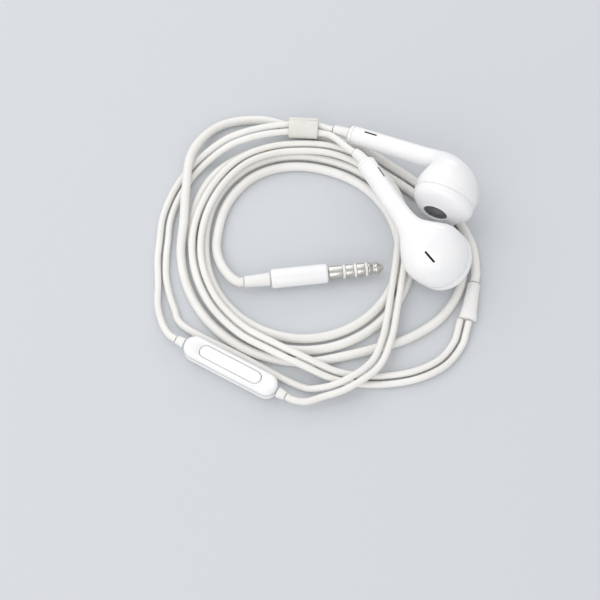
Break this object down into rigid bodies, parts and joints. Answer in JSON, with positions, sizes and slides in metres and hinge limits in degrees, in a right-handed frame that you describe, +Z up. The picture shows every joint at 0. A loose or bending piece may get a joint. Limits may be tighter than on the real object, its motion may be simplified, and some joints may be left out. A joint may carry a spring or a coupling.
{
  "type": "wired earphones",
  "caption": "Wired in-ear headphones put away: white earpieces with stems resting on their cord, which is wound in a flat ring with slider, remote and plug.",
  "frame": {"origin": "on the surface the earphones lie on, under the middle of the two earpieces' shared bounding box", "axes": "+Z up from the surface; +Y away from the picture's viewer, along the longer side of the two earpieces' box; +X to the viewer's right"},
  "size_m": [0.0835, 0.0825, 0.019],
  "materials": {
    "shell": "bright white, highly polished moulding",
    "elastomer": "white moulded elastomer, soft sheen",
    "cord_jacket": "slightly warm white extruded jacket, satin",
    "slider": "pale ivory, semi-matt",
    "port_mesh": "fine dark-grey woven mesh",
    "slot_mesh": "near-black fine mesh",
    "frame_plastic": "grey moulded",
    "plated_steel": "plated sheet steel",
    "magnet": "nickel plated",
    "copper": "enamelled copper wire",
    "film": "thin pressed film",
    "foam": "black foam",
    "board": "green solder mask",
    "contact": "bright plated contact",
    "insulator": "white moulded insulator"
  },
  "bodies": {
    "earphones": {"left_front_shell": "shell", "left_rear_shell": "shell", "left_stem_cap": "shell", "left_strain_relief": "elastomer", "left_port_mesh": "port_mesh", "left_rear_slot_mesh": "slot_mesh", "left_stem_slot_mesh": "slot_mesh", "left_driver_frame": "frame_plastic", "left_driver_yoke": "plated_steel", "left_driver_magnet": "magnet", "left_driver_top_plate": "plated_steel", "left_voice_coil": "copper", "left_diaphragm": "film", "left_driver_gasket": "foam", "left_inner_wires": "copper", "left_cable_knot": "elastomer", "right_front_shell": "shell", "right_rear_shell": "shell", "right_stem_cap": "shell", "right_strain_relief": "elastomer", "right_port_mesh": "port_mesh", "right_rear_slot_mesh": "slot_mesh", "right_stem_slot_mesh": "slot_mesh", "right_driver_frame": "frame_plastic", "right_driver_yoke": "plated_steel", "right_driver_magnet": "magnet", "right_driver_top_plate": "plated_steel", "right_voice_coil": "copper", "right_diaphragm": "film", "right_driver_gasket": "foam", "right_inner_wires": "copper", "right_cable_knot": "elastomer", "left_leg_cord": "cord_jacket", "right_leg_lower_cord": "cord_jacket", "right_leg_upper_cord": "cord_jacket", "main_cord_coil": "cord_jacket", "main_cord_tail": "cord_jacket", "splitter": "elastomer", "remote_front_shell": "shell", "remote_rear_shell": "shell", "remote_board": "board", "remote_domes": "plated_steel", "remote_microphone": "plated_steel", "remote_upper_relief": "elastomer", "remote_lower_relief": "elastomer", "plug_relief": "elastomer", "plug_barrel": "shell", "plug_sleeve": "contact", "plug_ring_rear": "contact", "plug_ring_front": "contact", "plug_tip": "contact", "plug_insulators": "insulator"},
    "slider": {"slider": "slider"},
    "button_carrier": {"remote_button_carrier": "frame_plastic"},
    "button": {"remote_button": "shell"}
  },
  "joints": [
    {"name": "slider_travel", "type": "hinge", "parent": "earphones", "child": "slider", "pos_m": [-0.0281, -0.01663, 0.0044], "axis": [0, 0, 1], "range_deg": [0, 16]},
    {"name": "centre_press", "type": "slide", "parent": "earphones", "child": "button_carrier", "axis": [0, 0, -1], "range_m": [0, 0.00025], "stiffness_N_per_m": 2000},
    {"name": "volume_rocker", "type": "hinge", "parent": "button_carrier", "child": "button", "pos_m": [-0.04415, -0.04368, 0.003], "axis": [-0.484, -0.875, 0], "range_deg": [-2, 2], "stiffness_Nm_per_rad": 0.056}
  ]
}
